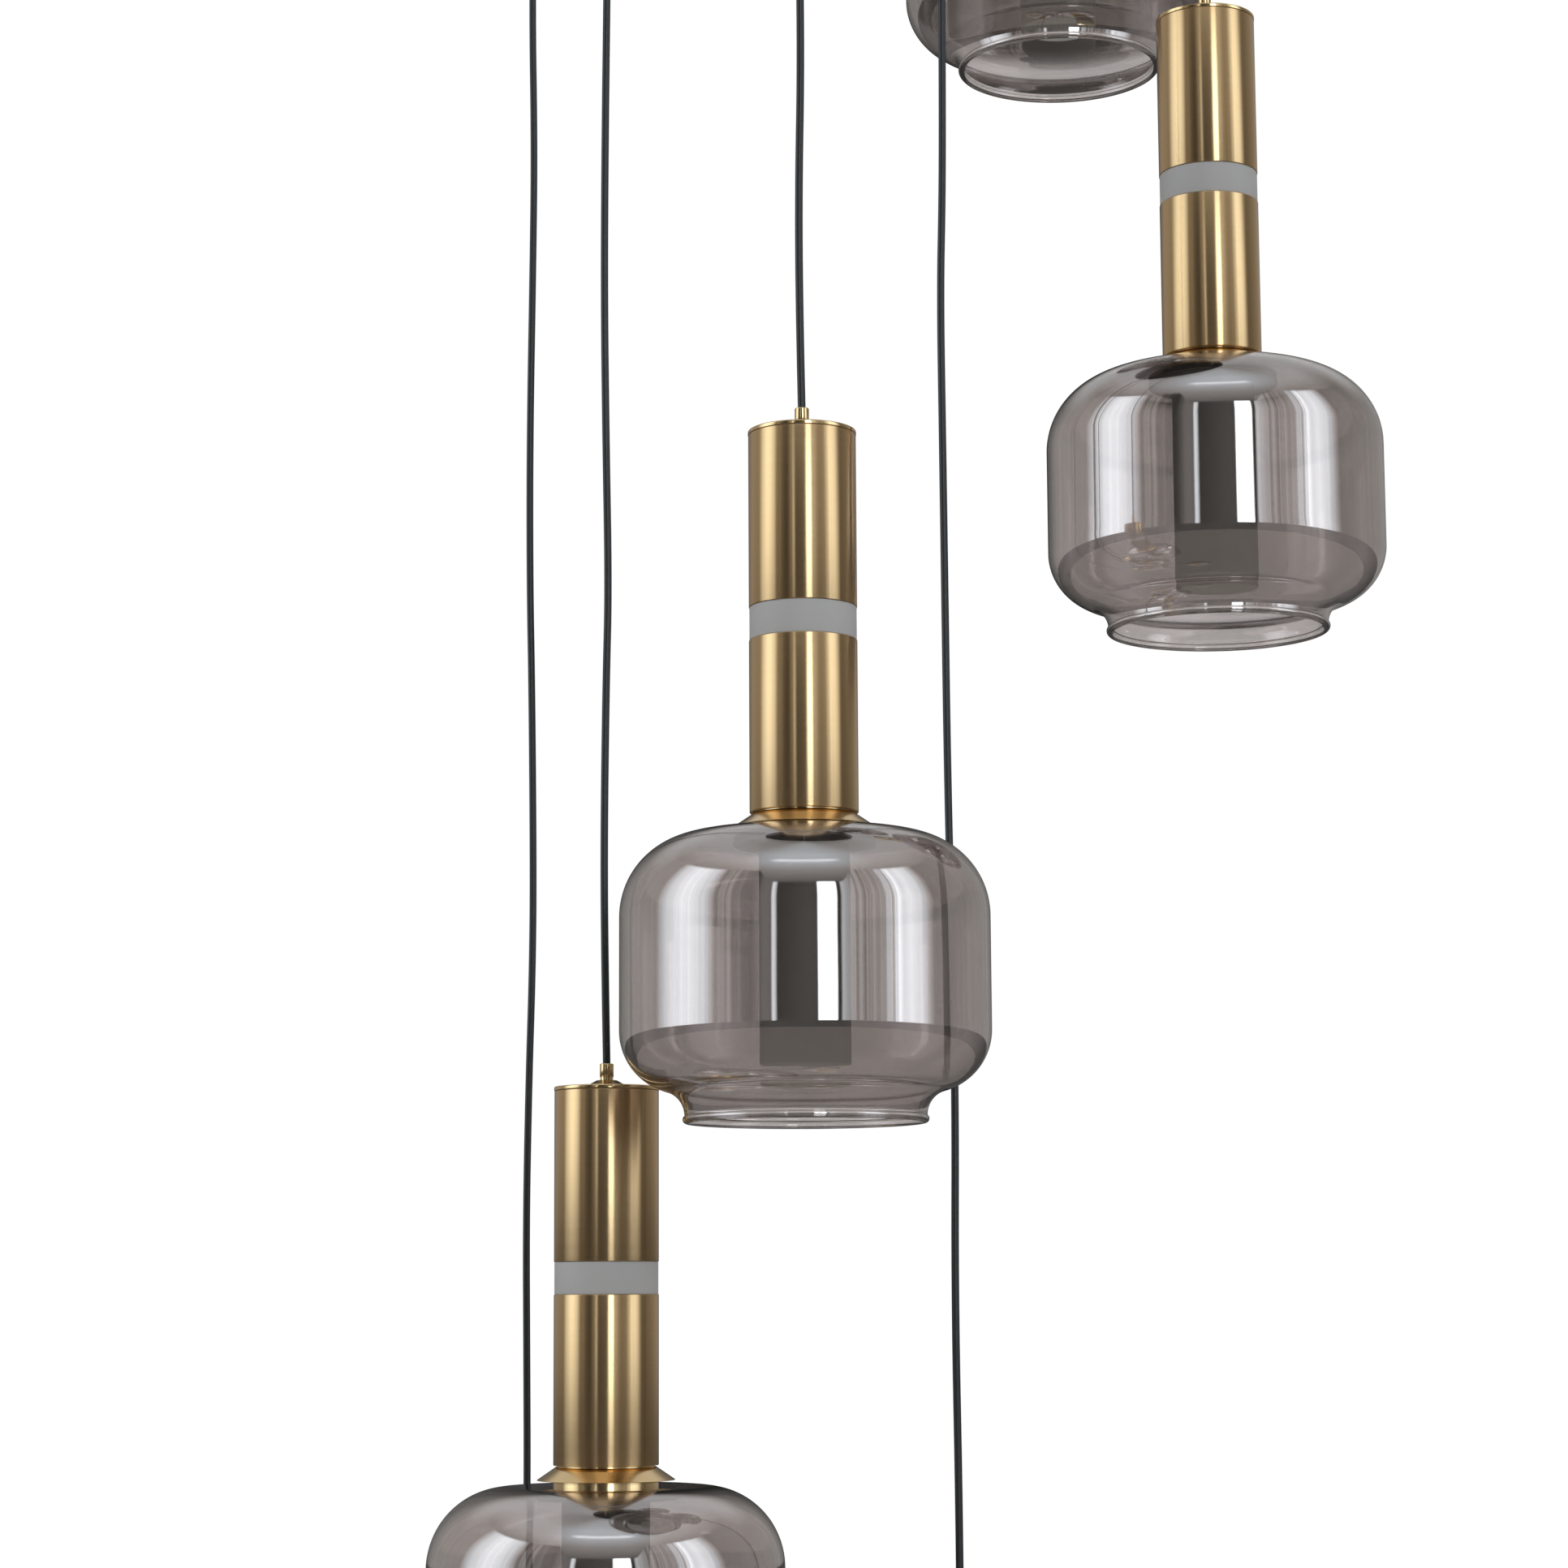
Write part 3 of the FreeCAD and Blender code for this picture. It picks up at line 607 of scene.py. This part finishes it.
def cap_outline(s):
    """The cap disc with its low cone and the spigot into the upper tube."""
    r = s.cap_d / 2.0
    e = s.edge_r
    spigot = spigot_radius(s)
    bottom = s.lower_tube_h + s.ring_h + s.upper_tube_h
    top = bottom + s.cap_t
    hole = CAP_HOLE_R
    inner = spigot - CAP_SPIGOT_WALL
    return (hole, bottom), [
        (inner, bottom), (inner, bottom - s.spigot_h),
        (spigot, bottom - s.spigot_h), (spigot, bottom),
        (r - e, bottom), (r - e, bottom + e, 90.0, 4),
        (r, top - 2.0 * e), (r - 2.0 * e, top - 2.0 * e, 90.0, 6),
        (s.cone_base_d / 2.0, top), (s.cone_top_d / 2.0, top + s.cone_h),
        (hole, top + s.cone_h), (hole, bottom),
    ]


def sleeve_outline(s):
    """The cord sleeve with its neck and its stem down through the cap."""
    cap_bottom = s.lower_tube_h + s.ring_h + s.upper_tube_h
    stem_bottom = cap_bottom - SLEEVE_STEM_GRIP
    foot = cap_bottom + s.cap_t + s.cone_h
    body = foot + s.neck_h
    top = body + s.sleeve_h
    r = s.sleeve_d / 2.0
    bore = s.cord_d / 2.0 + SLEEVE_MOUTH_PLAY
    low_e = SLEEVE_FOOT_EDGE
    e = SLEEVE_TOP_EDGE
    return (bore, stem_bottom), [
        (SLEEVE_STEM_R, stem_bottom), (SLEEVE_STEM_R, foot), (s.neck_d / 2.0, foot),
        (s.neck_d / 2.0, body), (r - low_e, body), (r - low_e, body + low_e, 90.0, 2),
        (r, top - e), (r - e, top - e, 90.0, 5),
        (bore + SLEEVE_FLARE_W, top), (bore, top - SLEEVE_FLARE_H), (bore, stem_bottom),
    ]


def holder_outline(s):
    """The flared collar with its spigot up into the tube and its stem down through the glass."""
    spigot = spigot_radius(s)
    rim = s.holder_d / 2.0
    rod_hole = HOLDER_ROD_HOLE_R
    neck = s.holder_neck_d / 2.0
    flare_top = s.holder_top_d / 2.0
    stem = s.stem_d / 2.0
    stem_in = stem - HOLDER_STEM_WALL
    stem_bottom = -s.shade_top - HOLDER_STEM_H
    slope = (s.holder_h - HOLDER_RECESS) / (rim - flare_top)
    under = -s.holder_h + slope * (rim - HOLDER_EDGE - HOLDER_SEAT_R)
    return (rod_hole, HOLDER_WEB), [
        (spigot - s.tube_wall, HOLDER_WEB), (spigot - s.tube_wall, s.spigot_h),
        (spigot, s.spigot_h), (spigot, 0.0), (neck, 0.0), (neck, -HOLDER_RECESS),
        (flare_top, -HOLDER_RECESS), (rim, -s.holder_h + HOLDER_RIM_EDGE),
        (rim - HOLDER_RIM_EDGE, -s.holder_h), (rim - HOLDER_EDGE, -s.holder_h),
        (HOLDER_SEAT_R, under), (HOLDER_SEAT_R, -s.shade_top),
        (stem, -s.shade_top), (stem, stem_bottom), (stem_in, stem_bottom),
        (stem_in, -HOLDER_WEB), (rod_hole, -HOLDER_WEB), (rod_hole, HOLDER_WEB),
    ]


def shade_outline(s):
    """The glass shade: flat top with a hole, shoulder, barrel, round corner, hollow neck and a
    mouth rolled into a bead."""
    r = s.shade_d / 2.0
    t = s.glass_t
    hole = s.shade_hole_d / 2.0
    top = -s.shade_top
    shoulder = (r - s.shoulder_r, top - s.shoulder_r)
    bead_r = s.lip_bead_d / 2.0
    bead = (s.mouth_d / 2.0 - t / 2.0, -s.shade_bottom + bead_r)
    foot = math.acos(t / s.lip_bead_d)
    neck = (s.mouth_d / 2.0 + s.mouth_r, bead[1] + bead_r * math.sin(foot))
    across = neck[0] - (r - s.corner_r)
    rise = math.sqrt((s.corner_r + s.mouth_r) ** 2 - across ** 2)
    corner = (r - s.corner_r, neck[1] + rise)
    meet = math.degrees(math.atan2(rise, across))
    return (hole, top), [
        (shoulder[0], top), (*shoulder, -90.0, 28),
        (r, corner[1]), (*corner, -meet, 22), (*neck, meet, 12),
        (*bead, -180.0 - 2.0 * math.degrees(foot), 24), (*neck, -meet, 12),
        (*corner, meet, 22), (r - t, shoulder[1]), (*shoulder, 90.0, 28),
        (hole, top - t), (hole, top),
    ]


def diffuser_outline(s):
    """The frosted cup with its wide collar under the glass."""
    r = s.diffuser_d / 2.0
    inner = r - s.diffuser_wall
    top = -s.shade_top - s.glass_t
    bottom = -s.diffuser_bottom
    collar = s.holder_d / 2.0
    high_e = CUP_COLLAR_TOP_EDGE
    low_e = CUP_COLLAR_EDGE
    e = CUP_CORNER_R
    return (inner, top), [
        (collar - high_e, top), (collar - high_e, top - high_e, -90.0, 3),
        (collar, top - s.collar_t + low_e),
        (collar - low_e, top - s.collar_t + low_e, -90.0, 4),
        (r, top - s.collar_t), (r, bottom + e), (r - e, bottom + e, -90.0, 6),
        (0.0, bottom), (0.0, bottom + s.diffuser_wall), (inner, bottom + s.diffuser_wall),
        (inner, top),
    ]


# Operators

class PENDANT_OT_camera(bpy.types.Operator):
    """Set the camera where the photograph was taken from"""

    bl_idname = "pendant.camera"
    bl_label = "Camera"

    def execute(self, context):
        studio = context.scene.pendant_studio
        data = bpy.data.cameras.new("photo_camera")
        data.sensor_fit = "HORIZONTAL"
        data.sensor_width = SENSOR_MM
        data.lens = studio.lens
        data.clip_end = CLIP_END
        camera = bpy.data.objects.new("photo_camera", data)
        context.scene.collection.objects.link(camera)
        upright = Matrix.Rotation(math.pi / 2.0 + studio.pitch, 4, "X")
        turn = Matrix.Rotation(studio.roll, 4, "Z")
        camera.matrix_world = Matrix.Translation(studio.camera_at) @ upright @ turn
        context.scene.camera = camera
        return {"FINISHED"}


class PENDANT_OT_materials(bpy.types.Operator):
    """Make every finish of the pendant"""

    bl_idname = "pendant.materials"
    bl_label = "Finishes"

    def execute(self, context):
        make_materials(context.scene.pendant_finishes)
        return {"FINISHED"}


class PENDANT_OT_cords(bpy.types.Operator):
    """Hang the six cords from their grips"""

    bl_idname = "pendant.cords"
    bl_label = "Cords"

    def execute(self, context):
        s = context.scene.pendant_sizes
        for number in LAMPS:
            low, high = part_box("cord_%d" % number)
            base = lamp_base(number)
            x, y = base.x, base.y
            waves = [(0.0, 0.0)] + (CORD_WAVES[number] or [(0.5, 0.0)]) + [(1.0, 0.0)]
            route = [(x + aside, y, high.z + share * (low.z - high.z)) for share, aside in waves]
            curve = bpy.data.curves.new("cord_flex_%d" % number, "CURVE")
            curve.dimensions = "3D"
            curve.resolution_u = 6
            curve.bevel_depth = s.cord_d / 2.0
            curve.bevel_resolution = 5
            curve.use_fill_caps = True
            spline = curve.splines.new("NURBS")
            spline.points.add(len(route) - 1)
            for point, at in zip(spline.points, route):
                point.co = (*at, 1.0)
            spline.order_u = 3
            spline.use_endpoint_u = True
            curve.materials.append(MATERIALS["black_pvc"])
            cord = bpy.data.objects.new("cord_flex_%d" % number, curve)
            context.scene.collection.objects.link(cord)
            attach(cord, "cord_body_%d" % number)
            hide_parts("cord_%d" % number)
        return {"FINISHED"}


class PENDANT_OT_tubes(bpy.types.Operator):
    """Turn the two brass tubes of each lamp"""

    bl_idname = "pendant.tubes"
    bl_label = "Brass tubes"

    def execute(self, context):
        s = context.scene.pendant_sizes
        ring_top = s.lower_tube_h + s.ring_h
        for number in LAMPS:
            turned_piece("brass_tube_low", tube_outline(s, 0.0, s.lower_tube_h), "tube_brass",
                         number, "lower_tube")
            turned_piece("brass_tube_high", tube_outline(s, ring_top, s.upper_tube_h),
                         "tube_brass", number, "upper_tube")
        return {"FINISHED"}


class PENDANT_OT_rings(bpy.types.Operator):
    """Turn the frosted ring between the tubes of each lamp"""

    bl_idname = "pendant.rings"
    bl_label = "Frosted rings"

    def execute(self, context):
        s = context.scene.pendant_sizes
        for number in LAMPS:
            turned_piece("frosted_band", ring_outline(s), "frosted_acrylic", number,
                         "frosted_ring")
        return {"FINISHED"}


class PENDANT_OT_caps(bpy.types.Operator):
    """Turn the cap and the cord sleeve of each lamp"""

    bl_idname = "pendant.caps"
    bl_label = "Caps and sleeves"

    def execute(self, context):
        s = context.scene.pendant_sizes
        for number in LAMPS:
            turned_piece("cap_disc", cap_outline(s), "cap_brass", number, "top_cap")
            turned_piece("cord_sleeve", sleeve_outline(s), "cap_brass", number, None,
                         steps=SLEEVE_STEPS)
        return {"FINISHED"}


class PENDANT_OT_holders(bpy.types.Operator):
    """Turn the flared collar that carries the glass of each lamp"""

    bl_idname = "pendant.holders"
    bl_label = "Glass holders"

    def execute(self, context):
        s = context.scene.pendant_sizes
        for number in LAMPS:
            turned_piece("flared_collar", holder_outline(s), "cap_brass", number,
                         "glass_holder", sharp_degrees=20.0)
        return {"FINISHED"}


class PENDANT_OT_shades(bpy.types.Operator):
    """Blow the glass shade of each lamp"""

    bl_idname = "pendant.shades"
    bl_label = "Glass shades"

    def execute(self, context):
        s = context.scene.pendant_sizes
        for number in LAMPS:
            turned_piece("blown_shade", shade_outline(s), "smoked_glass", number,
                         "glass_shade", sharp_degrees=50.0)
        return {"FINISHED"}


class PENDANT_OT_diffusers(bpy.types.Operator):
    """Turn the frosted cup inside each shade"""

    bl_idname = "pendant.diffusers"
    bl_label = "Diffusers"

    def execute(self, context):
        s = context.scene.pendant_sizes
        for number in LAMPS:
            turned_piece("frosted_cup", diffuser_outline(s), "frosted_cup", number,
                         "inner_diffuser", steps=CUP_STEPS)
            finish_node("light_core_%d" % number, "core_aluminium")
        return {"FINISHED"}


class PENDANT_OT_canopy(bpy.types.Operator):
    """Finish the canopy and what it covers"""

    bl_idname = "pendant.canopy"
    bl_label = "Canopy"

    def execute(self, context):
        for name, material in (("canopy_cover", "canopy_black"),
                               ("canopy_screws", "canopy_black"),
                               ("mounting_bracket", "bracket_steel"),
                               ("driver", "driver_case"),
                               ("terminal_block", "terminal_plastic"),
                               ("cord_grips", "cap_brass")):
            finish_node(name, material)
        return {"FINISHED"}


class PENDANT_OT_stage(bpy.types.Operator):
    """Lay the pale floor and light the studio"""

    bl_idname = "pendant.stage"
    bl_label = "Stage"

    def execute(self, context):
        scene = context.scene
        studio = scene.pendant_studio
        scene.view_settings.view_transform = "Standard"
        lay_floor(scene.pendant_finishes.floor)
        world = bpy.data.worlds.new("studio")
        scene.world = world
        world.use_nodes = True
        light_world(world.node_tree, studio)
        return {"FINISHED"}


def lay_floor(tone):
    """A round pale floor well below the lowest lamp."""
    material, tree, output = new_material("pale_floor")
    path = add_node(tree, "ShaderNodeLightPath")
    glow = add_node(tree, "ShaderNodeMath", {1: FLOOR_GLOW}, {0: path.outputs["Is Camera Ray"]},
                    operation="MULTIPLY")
    shader = add_node(tree, "ShaderNodeBsdfPrincipled",
                      {"Base Color": tone, "Roughness": 0.8,
                       "Emission Color": (1.0, 1.0, 1.0, 1.0)},
                      {"Emission Strength": glow.outputs[0]})
    tree.links.new(shader.outputs["BSDF"], output.inputs["Surface"])
    bm = bmesh.new()
    bmesh.ops.create_circle(bm, cap_ends=True, radius=FLOOR_R, segments=96)
    bmesh.ops.translate(bm, verts=bm.verts[:], vec=(0.0, 0.0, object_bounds()[0][2] - FLOOR_DROP))
    mesh = bpy.data.meshes.new("floor")
    bm.to_mesh(mesh)
    bm.free()
    mesh.materials.append(material)
    floor = bpy.data.objects.new("floor", mesh)
    bpy.context.scene.collection.objects.link(floor)
    floor.visible_glossy = False
    floor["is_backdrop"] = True


def brightness_ramp(tree, stops, factor):
    """A brightness that runs evenly between stops from 0 to 1."""
    ramp = add_node(tree, "ShaderNodeValToRGB", (), {"Fac": factor})
    elements = ramp.color_ramp.elements
    elements[1].position = 1.0
    for place, bright in stops[1:-1]:
        elements.new(place)
    for element, (place, bright) in zip(elements, stops):
        element.position = place
        element.color = (bright / BRIGHTEST,) * 3 + (1.0,)
    return add_node(tree, "ShaderNodeMath", {1: BRIGHTEST}, {0: ramp.outputs["Color"]},
                    operation="MULTIPLY").outputs[0]


def wall_brightness(tree, studio, turn, soft):
    """The brightness of the walls by azimuth, with curtain folds at the sides."""
    azimuth = add_node(tree, "ShaderNodeMapRange", {"From Min": -math.pi, "From Max": math.pi},
                       {"Value": turn}).outputs["Result"]
    stops = [((degrees + 180.0) / 360.0, bright) for degrees, bright in WALLS]
    walls = brightness_ramp(tree, stops, azimuth)
    fold = add_node(tree, "ShaderNodeTexNoise",
                    {"Scale": FOLD_COUNT, "Detail": 3.0, "Roughness": 0.7}, {"W": turn},
                    noise_dimensions="1D")
    depth = add_node(tree, "ShaderNodeMapRange",
                     {"To Min": studio.folds, "To Max": SOFTBOX_FOLDS * studio.folds},
                     {"Value": soft["softbox"]}).outputs["Result"]
    pleat = add_node(tree, "ShaderNodeMapRange",
                     {"From Min": FOLD_RANGE[0], "From Max": FOLD_RANGE[1],
                      "To Min": -1.0, "To Max": 1.0},
                     {"Value": fold.outputs["Fac"]}).outputs["Result"]
    dim = add_node(tree, "ShaderNodeMath", {2: 1.0}, {0: pleat, 1: depth},
                   operation="MULTIPLY_ADD").outputs[0]
    folded = add_node(tree, "ShaderNodeMath", (), {0: walls, 1: dim},
                      operation="MULTIPLY").outputs[0]
    return add_node(tree, "ShaderNodeMix", (),
                    {"Factor": soft["sides"], "A": walls, "B": folded}).outputs["Result"]


def ceiling_brightness(tree, studio, rise, soft):
    """The brightness of the ceiling by elevation, lifted on the camera's side."""
    height = add_node(tree, "ShaderNodeMapRange", {"From Min": -1.0, "From Max": 1.0},
                      {"Value": rise}).outputs["Result"]
    stops = [((math.sin(math.radians(degrees)) + 1.0) / 2.0, bright)
             for degrees, bright in CEILING]
    above = brightness_ramp(tree, stops, height)
    lift = add_node(tree, "ShaderNodeMath", {1: studio.ceiling_lift, 2: 1.0},
                    {0: soft["facing"]}, operation="MULTIPLY_ADD").outputs[0]
    return add_node(tree, "ShaderNodeMath", (), {0: above, 1: lift},
                    operation="MULTIPLY").outputs[0]


def studio_brightness(tree, studio, direction):
    """The studio's brightness along a direction: walls, ground, ceiling, backdrop and beam."""
    split = add_node(tree, "ShaderNodeSeparateXYZ", (), {0: direction})
    rise = split.outputs["Z"]
    away = add_node(tree, "ShaderNodeMath", {1: -1.0}, {0: split.outputs["Y"]},
                    operation="MULTIPLY")
    turn = add_node(tree, "ShaderNodeMath", (), {0: split.outputs["X"], 1: away.outputs[0]},
                    operation="ARCTAN2").outputs[0]
    aside = add_node(tree, "ShaderNodeMath", (), {0: turn}, operation="ABSOLUTE").outputs[0]
    foot = math.sin(studio.wall_foot)
    rise_steps = {"below": (foot + FOOT_SOFTNESS, foot - FOOT_SOFTNESS), **RISE_STEPS}
    soft = {}
    for value, steps in ((aside, ASIDE_STEPS), (rise, rise_steps)):
        for name, (low, high) in steps.items():
            soft[name] = add_node(tree, "ShaderNodeMapRange",
                                  {"From Min": low, "From Max": high}, {"Value": value},
                                  interpolation_type="SMOOTHSTEP").outputs["Result"]
    lower = add_node(tree, "ShaderNodeMix", {"B": studio.ground},
                     {"Factor": soft["below"],
                      "A": wall_brightness(tree, studio, turn, soft)}).outputs["Result"]
    edge = add_node(tree, "ShaderNodeMapRange",
                    {"To Min": math.sin(studio.window_top), "To Max": math.sin(studio.wall_top)},
                    {"Value": soft["sides"]}).outputs["Result"]
    past = add_node(tree, "ShaderNodeMath", (), {0: rise, 1: edge},
                    operation="SUBTRACT").outputs[0]
    over = add_node(tree, "ShaderNodeMapRange",
                    {"From Min": -TOP_SOFTNESS, "From Max": TOP_SOFTNESS}, {"Value": past},
                    interpolation_type="SMOOTHSTEP").outputs["Result"]
    whole = add_node(tree, "ShaderNodeMix", (),
                     {"Factor": over, "A": lower,
                      "B": ceiling_brightness(tree, studio, rise, soft)}).outputs["Result"]
    backdrop = add_node(tree, "ShaderNodeMath", (), {0: soft["behind"], 1: soft["high"]},
                        operation="MULTIPLY").outputs[0]
    band = add_node(tree, "ShaderNodeMath", (), {0: soft["beam_start"], 1: soft["beam_end"]},
                    operation="SUBTRACT").outputs[0]
    near = add_node(tree, "ShaderNodeMath", {0: 1.0}, {1: soft["sides"]},
                    operation="SUBTRACT").outputs[0]
    beam = add_node(tree, "ShaderNodeMath", (), {0: band, 1: near},
                    operation="MULTIPLY").outputs[0]
    for share, bright in ((backdrop, studio.backdrop), (beam, studio.beam)):
        whole = add_node(tree, "ShaderNodeMix", {"B": bright},
                         {"Factor": share, "A": whole}).outputs["Result"]
    return whole


def light_world(tree, studio):
    """The studio round the pendant, and pure white where the camera looks past it or straight
    through its glass."""
    tree.nodes.clear()
    coords = add_node(tree, "ShaderNodeTexCoord")
    whole = studio_brightness(tree, studio, coords.outputs["Generated"])
    warmth = add_node(tree, "ShaderNodeMapRange",
                      {"From Min": WARM_TO_COOL[0], "From Max": WARM_TO_COOL[1]},
                      {"Value": whole}, interpolation_type="SMOOTHSTEP")
    tint = add_node(tree, "ShaderNodeMix", {"A": WARM_WALL, "B": COOL_LIGHT},
                    {"Factor": warmth.outputs["Result"]}, data_type="RGBA")
    toned = add_node(tree, "ShaderNodeMix", {"Factor": 1.0},
                     {"A": whole, "B": tint.outputs["Result"]},
                     data_type="RGBA", blend_type="MULTIPLY")
    path = add_node(tree, "ShaderNodeLightPath")
    bounces = add_node(tree, "ShaderNodeMath", (),
                       {0: path.outputs["Glossy Depth"], 1: path.outputs["Diffuse Depth"]},
                       operation="ADD")
    # A count of bounces is a whole number, so less than a half means none.
    direct = add_node(tree, "ShaderNodeMath", {1: 0.5}, {0: bounces.outputs[0]},
                      operation="LESS_THAN")
    split = add_node(tree, "ShaderNodeSeparateXYZ", (), {0: coords.outputs["Generated"]})
    ends = [add_node(tree, "ShaderNodeMapRange", {"From Min": low, "From Max": high},
                     {"Value": split.outputs["Z"]}, interpolation_type="SMOOTHSTEP")
            for low, high in (WHITE_FROM, WHITE_TO)]
    level = add_node(tree, "ShaderNodeMath", (),
                     {0: ends[0].outputs["Result"], 1: ends[1].outputs["Result"]},
                     operation="MULTIPLY")
    through = add_node(tree, "ShaderNodeMath", (),
                       {0: path.outputs["Is Transmission Ray"], 1: level.outputs[0]},
                       operation="MULTIPLY")
    seen = add_node(tree, "ShaderNodeMath", (),
                    {0: path.outputs["Is Camera Ray"], 1: through.outputs[0]},
                    operation="MAXIMUM")
    white = add_node(tree, "ShaderNodeMath", (), {0: direct.outputs[0], 1: seen.outputs[0]},
                     operation="MULTIPLY")
    shown = add_node(tree, "ShaderNodeMix", {"B": PAPER_WHITE},
                     {"Factor": white.outputs[0], "A": toned.outputs["Result"]},
                     data_type="RGBA")
    background = add_node(tree, "ShaderNodeBackground", (), {"Color": shown.outputs["Result"]})
    add_node(tree, "ShaderNodeOutputWorld", (), {"Surface": background.outputs[0]})


class PENDANT_PT_pieces(bpy.types.Panel):
    """Lists the pendant's groups of pieces"""

    bl_label = "Cluster pendant"
    bl_idname = "PENDANT_PT_pieces"
    bl_space_type = "VIEW_3D"
    bl_region_type = "UI"
    bl_category = "Pendant"

    def draw(self, context):
        for step in STEPS:
            self.layout.operator(step.bl_idname)
        for group in ("pendant_sizes", "pendant_finishes", "pendant_studio"):
            values = getattr(context.scene, group)
            column = self.layout.column()
            for name in values.__annotations__:
                column.prop(values, name)


STEPS = (
    PENDANT_OT_camera,
    PENDANT_OT_materials,
    PENDANT_OT_cords,
    PENDANT_OT_stage,
    PENDANT_OT_shades,
    PENDANT_OT_diffusers,
    PENDANT_OT_tubes,
    PENDANT_OT_rings,
    PENDANT_OT_caps,
    PENDANT_OT_holders,
    PENDANT_OT_canopy,
)
CLASSES = (PendantSizes, PendantFinishes, PendantStudio, *STEPS, PENDANT_PT_pieces)


def register():
    for kind in CLASSES:
        bpy.utils.register_class(kind)
    bpy.types.Scene.pendant_sizes = bpy.props.PointerProperty(type=PendantSizes)
    bpy.types.Scene.pendant_finishes = bpy.props.PointerProperty(type=PendantFinishes)
    bpy.types.Scene.pendant_studio = bpy.props.PointerProperty(type=PendantStudio)


def unregister():
    del bpy.types.Scene.pendant_studio
    del bpy.types.Scene.pendant_finishes
    del bpy.types.Scene.pendant_sizes
    for kind in reversed(CLASSES):
        bpy.utils.unregister_class(kind)


def main():
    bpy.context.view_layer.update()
    register()
    for step in STEPS:
        group, name = step.bl_idname.split(".")
        getattr(getattr(bpy.ops, group), name)()


if __name__ == "__main__":
    main()
